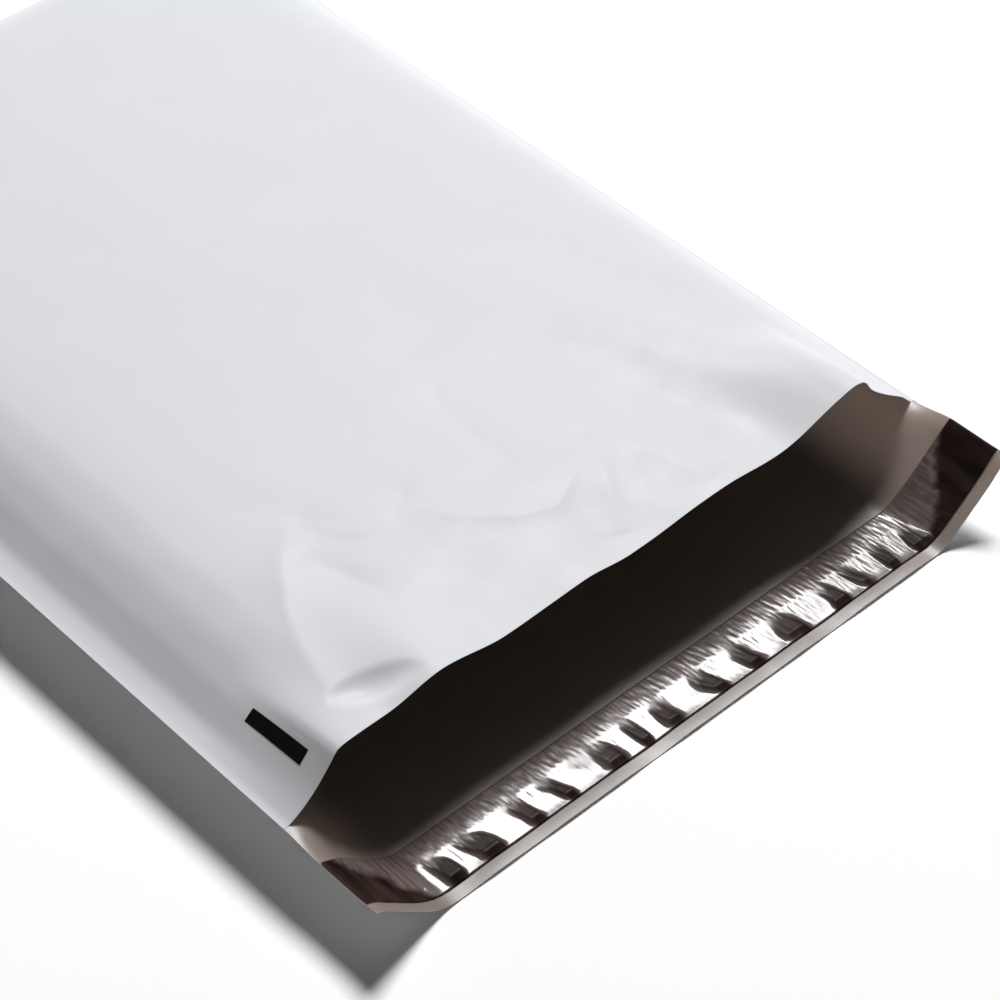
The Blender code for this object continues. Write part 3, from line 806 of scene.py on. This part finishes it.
class MarkSettings(bpy.types.PropertyGroup):
    """The printed registration mark."""

    length: bpy.props.FloatProperty(
        name="Length", description="Length of the mark along the bag",
        default=0.0223, min=0.005, max=0.05, unit="LENGTH", subtype="DISTANCE")
    width: bpy.props.FloatProperty(
        name="Width", description="Width of the mark up the slope",
        default=0.0045, min=0.002, max=0.02, unit="LENGTH", subtype="DISTANCE")
    from_mouth: bpy.props.FloatProperty(
        name="From the mouth", description="From the mouth to the mark",
        default=0.0080, min=0.0, max=0.1, unit="LENGTH", subtype="DISTANCE")
    from_edge: bpy.props.FloatProperty(
        name="From the side", description="From the bag's left edge to the mark",
        default=0.0124, min=0.006, max=0.1, unit="LENGTH", subtype="DISTANCE")
    ink: bpy.props.FloatVectorProperty(
        name="Ink", description="Colour of the ink", default=linear("070707"), min=0.0, max=1.0,
        subtype="COLOR")


class StudioSettings(bpy.types.PropertyGroup):
    """Camera and light."""

    focal_length: bpy.props.FloatProperty(
        name="Focal length", description="Focal length in millimetres", default=110.5, min=20.0, max=300.0)
    key_level: bpy.props.FloatProperty(
        name="Key", description="Brightness that the key light gives a white card that faces it",
        default=1.09, min=0.0, max=4.0)
    key_distance: bpy.props.FloatProperty(
        name="Key distance", description="From the bag to the key light",
        default=4.0, min=0.5, max=10.0, unit="LENGTH", subtype="DISTANCE")
    key_angle: bpy.props.FloatProperty(
        name="Key size", description="Angle that the key light takes up, seen from the bag",
        default=math.radians(18.0), min=0.02, max=1.5, subtype="ANGLE", unit="ROTATION")
    fill: bpy.props.FloatVectorProperty(
        name="Fill", description="Light that comes from all around",
        default=linear("403D38"), min=0.0, max=1.0, subtype="COLOR")
    floor: bpy.props.FloatVectorProperty(
        name="Floor", description="Colour of the floor as light falls on it", default=linear("F4F4F4"),
        min=0.0, max=1.0, subtype="COLOR")
    floor_gain: bpy.props.FloatProperty(
        name="Floor gain", description="How much paler the camera and reflections see the floor",
        default=1.25, min=1.0, max=2.0)


class MAILER_OT_film(bpy.types.Operator):
    """Make the film: front panel, closed end, back panel and flap, in one piece with a real pouch"""

    bl_idname = "mailer.film"
    bl_label = "Film"
    bl_options = {"REGISTER", "UNDO"}

    def execute(self, context):
        settings = context.scene.mailer_film
        bag = Bag(settings)
        shares, kept, welded = film_columns(bag)
        rows = film_rows(bag)
        flap_rows = spaced((-bag.flap, 0.0, FLAP_STEP))[:-1]
        mouth = len(flap_rows)

        # Inner faces. They meet in the welds and on the closed end.
        front_in = bag.panel(rows, shares, bag.front, bag.folds)
        back_in = bag.panel(np.concatenate((flap_rows, rows)), shares, bag.back)
        middle = (front_in + back_in[mouth:]) / 2
        for inner in (front_in, back_in[mouth:]):
            inner[:, :welded] = middle[:, :welded]
            inner[:, -welded:] = middle[:, -welded:]
            inner[-1] = middle[-1]
        front_out = offset(front_in, bag.gauge)
        back_out = offset(back_in, -bag.gauge)
        back_out[:, :, 2] = np.maximum(back_out[:, :, 2], 0.0)

        # The front and the line on which both panels end have all the columns, the back the kept ones
        piece = Piece()
        top = piece.add(front_out)
        front = piece.add(front_in[:-1, welded:-welded])
        end = piece.add(middle[-1])
        fold = piece.add(middle[-1, 1:-1] + (0.0, bag.gauge, 0.0))
        under_end = piece.add(back_out[-1])
        bottom = piece.add(back_out[:-1, kept])
        back = piece.add(back_in[:-1, kept])

        outside, inside = 0, 1
        lip = slice(welded - 1, len(shares) - welded + 1)
        weld_line = (np.searchsorted(kept, welded - 1), np.searchsorted(kept, len(shares) - welded))
        pouch = slice(weld_line[0], weld_line[1] + 1)
        lining = np.column_stack((back[mouth:, weld_line[0]], front, back[mouth:, weld_line[1]]))
        piece.cover(grid_faces(top, True), outside)
        piece.cover(grid_faces(np.vstack((lining, end[lip])), False), inside)
        piece.cover(grid_faces(back[:mouth + 1], True), inside)
        piece.cover(grid_faces(back[mouth:, pouch], True), inside)
        piece.cover(joining_faces(back[-1, pouch], end[lip], kept[pouch] - kept[pouch][0]), inside)
        piece.cover(grid_faces(bottom, False), outside)
        piece.cover([face[::-1] for face in joining_faces(bottom[-1], under_end, kept)], outside)

        # Cut edges: mouth lip, welds at the mouth, sides, flap, and the outside of the fold
        piece.cover(strip_faces(lining[0], top[0, lip]), outside)
        for part, ends in ((slice(0, welded), kept < welded), (slice(-welded, None), kept >= lip.stop - 1)):
            first = back[mouth, ends]
            piece.cover(joining_faces(first, top[0, part], kept[ends] - kept[ends][0]), outside)
        left = np.append(back[mouth:, 0], end[0])
        right = np.append(back[mouth:, -1], end[-1])
        piece.cover(strip_faces(top[:, 0], left), outside)
        piece.cover(strip_faces(left, np.append(bottom[mouth:, 0], under_end[0])), outside)
        piece.cover(strip_faces(right, top[:, -1]), outside)
        piece.cover(strip_faces(np.append(bottom[mouth:, -1], under_end[-1]), right), outside)
        piece.cover(strip_faces(back[:mouth + 1, 0], bottom[:mouth + 1, 0]), outside)
        piece.cover(strip_faces(bottom[:mouth + 1, -1], back[:mouth + 1, -1]), outside)
        piece.cover(strip_faces(bottom[0], back[0]), outside)
        fold = np.array([end[0], *fold, end[-1]])
        piece.cover(strip_faces(top[-1], fold), outside)
        piece.cover(strip_faces(fold, under_end), outside)

        made = piece.make("film_pouch", [white_film(settings.white), lining_film(settings.lining)])
        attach(made, BODY)
        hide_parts("mailer_film")
        return {"FINISHED"}


class MAILER_OT_adhesive(bpy.types.Operator):
    """Make the hot-melt adhesive band on the flap"""

    bl_idname = "mailer.adhesive"
    bl_label = "Adhesive band"
    bl_options = {"REGISTER", "UNDO"}

    def execute(self, context):
        bag, flap = Bag(context.scene.mailer_film), context.scene.mailer_flap
        middle = -(bag.flap - flap.hem - flap.band_width / 2)
        rows = spaced((middle - flap.adhesive_width / 2, middle + flap.adhesive_width / 2, FLAP_STEP))
        reach = 1.0 - flap.adhesive_end_gap / bag.half_open
        shares = spaced((-reach, reach, PANEL_STEP / bag.half_open))
        made = thin_layer("adhesive_strip", bag.panel(rows, shares, bag.back), ADHESIVE_LIFT,
                          flap.adhesive_gauge, adhesive_material(flap.adhesive))
        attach(made, BODY)
        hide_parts("adhesive_band")
        return {"FINISHED"}


class MAILER_OT_liner(bpy.types.Operator):
    """Make the puckered peel-off liner over the adhesive"""

    bl_idname = "mailer.liner"
    bl_label = "Peel-off liner"
    bl_options = {"REGISTER", "UNDO"}

    def execute(self, context):
        bag, flap = Bag(context.scene.mailer_film), context.scene.mailer_flap
        top = -(bag.flap - flap.hem - flap.band_width)
        rows = spaced((top - flap.band_width, top, LINER_STEP_ALONG))
        reach = 1.0 - flap.end_gap / bag.half_open
        shares = spaced((-reach, reach, LINER_STEP_ACROSS / bag.half_open))
        piece = Piece()
        numbers = piece.add(offset(bag.panel(rows, shares, bag.back), LINER_LIFT))
        piece.cover(grid_faces(numbers, True))
        made = piece.make("liner_strip", [])
        layer = made.data.uv_layers.new(name="UVMap")
        run = np.tile(shares * bag.half_open, len(rows))
        down = np.repeat(top - rows, len(shares))
        corners = np.zeros(len(made.data.loops), np.int32)
        made.data.loops.foreach_get("vertex_index", corners)
        places = np.stack((run[corners], down[corners]), axis=1)
        layer.data.foreach_set("uv", places.astype(np.float32).ravel())
        apply_tree(made, liner_tree(), {
            "Strip Length": 2.0 * reach * bag.half_open, "Strip Width": flap.band_width,
            "Bubble Pitch": flap.bubble_pitch, "Bubble Rise": flap.bubble_rise,
            "Bubble Lean": BUBBLE_LEAN, "Bubble Start": BUBBLE_START, "Flat End": flap.flat_end,
            "Wrinkle Pitch": flap.wrinkle_pitch, "Wrinkle Rise": flap.wrinkle_rise,
            "Thickness": flap.liner_gauge, "Seed": flap.seed,
            "Finish": liner_material(flap.liner, flap.wet_and_shade)})
        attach(made, BODY)
        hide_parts("release_liner")
        return {"FINISHED"}


class MAILER_OT_mark(bpy.types.Operator):
    """Print the black registration mark beside the mouth"""

    bl_idname = "mailer.mark"
    bl_label = "Registration mark"
    bl_options = {"REGISTER", "UNDO"}

    def execute(self, context):
        bag, mark = Bag(context.scene.mailer_film), context.scene.mailer_mark
        rows = spaced((mark.from_mouth, mark.from_mouth + mark.length, MARK_STEP))
        middle = mark.from_mouth + mark.length / 2
        climb = np.linspace(mark.from_edge, mark.from_edge + mark.width, MARK_SAMPLES) - bag.half_open
        run = np.concatenate(([0.0], np.cumsum(np.hypot(np.diff(climb), np.diff(bag.front(climb, middle))))))
        columns = np.interp(np.linspace(0.0, mark.width, MARK_COLUMNS), run, climb)
        made = thin_layer("registration_mark", bag.panel(rows, columns / bag.half_open, bag.front, bag.folds),
                          bag.gauge + MARK_LIFT, MARK_SKIN, ink_material(mark.ink))
        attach(made, BODY)
        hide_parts("eye_mark")
        return {"FINISHED"}


class MAILER_OT_studio(bpy.types.Operator):
    """Make the floor, the light and the camera"""

    bl_idname = "mailer.studio"
    bl_label = "Studio"
    bl_options = {"REGISTER", "UNDO"}

    def execute(self, context):
        settings = context.scene.mailer_studio
        self.add_floor(settings)
        self.add_light(settings)
        self.add_camera(settings)
        context.scene.view_settings.view_transform = "Standard"
        return {"FINISHED"}

    @staticmethod
    def add_floor(settings):
        """A plain white sheet of card that the camera and reflections see a little paler than it is lit."""
        half = FLOOR_SIDE / 2
        mesh = bpy.data.meshes.new("floor")
        mesh.from_pydata([(x, y, -FLOOR_DROP) for x, y in ((-half, -half), (half, -half), (half, half),
                                                            (-half, half))], [], [(0, 1, 2, 3)])
        made, tree, shader = principled("card_matt_white", Roughness=0.9)
        seen = seen_ray(tree)
        paler = [part * settings.floor_gain for part in settings.floor]
        white = add_node(tree, "ShaderNodeMix", {0: seen, 6: (*settings.floor, 1.0), 7: (*paler, 1.0)},
                         data_type="RGBA")
        tree.links.new(white.outputs[2], shader.inputs["Base Color"])
        mesh.materials.append(made)
        floor = bpy.data.objects.new("floor", mesh)
        bpy.context.scene.collection.objects.link(floor)

    @staticmethod
    def add_light(settings):
        """One round soft key behind the bag on the right, and an even fill from all around."""
        direction = Vector(KEY_DIRECTION).normalized()
        lamp = bpy.data.lights.new("key", "AREA")
        lamp.shape = "DISK"
        lamp.size = 2.0 * settings.key_distance * math.tan(settings.key_angle / 2)
        lamp.energy = settings.key_level * math.pi ** 2 * settings.key_distance ** 2
        key = bpy.data.objects.new("key", lamp)
        key.location = direction * settings.key_distance
        key.rotation_euler = direction.to_track_quat("Z", "Y").to_euler()
        bpy.context.scene.collection.objects.link(key)

        world = bpy.data.worlds.new("studio")
        world.use_nodes = True
        tree = world.node_tree
        tree.nodes.clear()
        fill = add_node(tree, "ShaderNodeBackground", {"Color": (*settings.fill, 1.0)})
        white = add_node(tree, "ShaderNodeBackground", {"Color": (1.0, 1.0, 1.0, 1.0)})
        either = add_node(tree, "ShaderNodeMixShader", {0: seen_ray(tree), 1: fill.outputs["Background"],
                                                        2: white.outputs["Background"]})
        add_node(tree, "ShaderNodeOutputWorld", {"Surface": either.outputs["Shader"]})
        bpy.context.scene.world = world

    @staticmethod
    def add_camera(settings):
        """Camera at the picture's angle, with its roll."""
        azimuth, elevation = math.radians(CAMERA_AZIMUTH), math.radians(CAMERA_ELEVATION)
        back = Vector((math.sin(azimuth) * math.cos(elevation), -math.cos(azimuth) * math.cos(elevation),
                       math.sin(elevation)))
        level = (-back).cross(Vector((0.0, 0.0, 1.0))).normalized()
        upright = level.cross(-back)
        roll = math.radians(CAMERA_ROLL)
        right = math.cos(roll) * level + math.sin(roll) * upright
        up = math.cos(roll) * upright - math.sin(roll) * level
        lens = bpy.data.cameras.new("camera")
        lens.sensor_width = SENSOR
        lens.lens = settings.focal_length
        lens.clip_start, lens.clip_end = 0.01, 100.0
        camera = bpy.data.objects.new("camera", lens)
        turn = Matrix((right, up, back)).transposed().to_4x4()
        camera.matrix_world = Matrix.Translation(Vector(CAMERA_AIM) + back * CAMERA_DISTANCE) @ turn
        bpy.context.scene.collection.objects.link(camera)
        bpy.context.scene.camera = camera


def seen_ray(tree):
    """1 for what the camera sees, straight or in a reflection or through a clear thing, and 0 for light."""
    path = add_node(tree, "ShaderNodeLightPath").outputs
    mirrored = add_node(tree, "ShaderNodeMath", {0: path["Is Camera Ray"], 1: path["Is Glossy Ray"]},
                        operation="MAXIMUM")
    through = add_node(tree, "ShaderNodeMath", {0: mirrored.outputs["Value"],
                                                1: path["Is Transmission Ray"]}, operation="MAXIMUM")
    return through.outputs["Value"]


class MAILER_PT_panel(bpy.types.Panel):
    """Lists the settings and the pieces of the mailer"""

    bl_idname = "MAILER_PT_panel"
    bl_label = "Poly Mailer"
    bl_space_type = "VIEW_3D"
    bl_region_type = "UI"
    bl_category = "Mailer"

    def draw(self, context):
        groups = ((context.scene.mailer_film, ("mailer.film",)),
                  (context.scene.mailer_flap, ("mailer.adhesive", "mailer.liner")),
                  (context.scene.mailer_mark, ("mailer.mark",)),
                  (context.scene.mailer_studio, ("mailer.studio",)))
        for settings, operators in groups:
            box = self.layout.box()
            for name in settings.__annotations__:
                box.prop(settings, name)
            for operator in operators:
                box.operator(operator)


SETTINGS = {"mailer_film": FilmSettings, "mailer_flap": FlapSettings, "mailer_mark": MarkSettings,
            "mailer_studio": StudioSettings}
OPERATORS = (MAILER_OT_studio, MAILER_OT_film, MAILER_OT_adhesive, MAILER_OT_liner, MAILER_OT_mark)


def register():
    for kind in (*SETTINGS.values(), *OPERATORS, MAILER_PT_panel):
        bpy.utils.register_class(kind)
    for name, kind in SETTINGS.items():
        setattr(bpy.types.Scene, name, bpy.props.PointerProperty(type=kind))


def unregister():
    for name in SETTINGS:
        delattr(bpy.types.Scene, name)
    for kind in (MAILER_PT_panel, *reversed(OPERATORS), *reversed(SETTINGS.values())):
        bpy.utils.unregister_class(kind)


def main():
    register()
    bpy.ops.mailer.studio()
    bpy.ops.mailer.film()
    bpy.ops.mailer.adhesive()
    bpy.ops.mailer.liner()
    bpy.ops.mailer.mark()


if __name__ == "__main__":
    main()
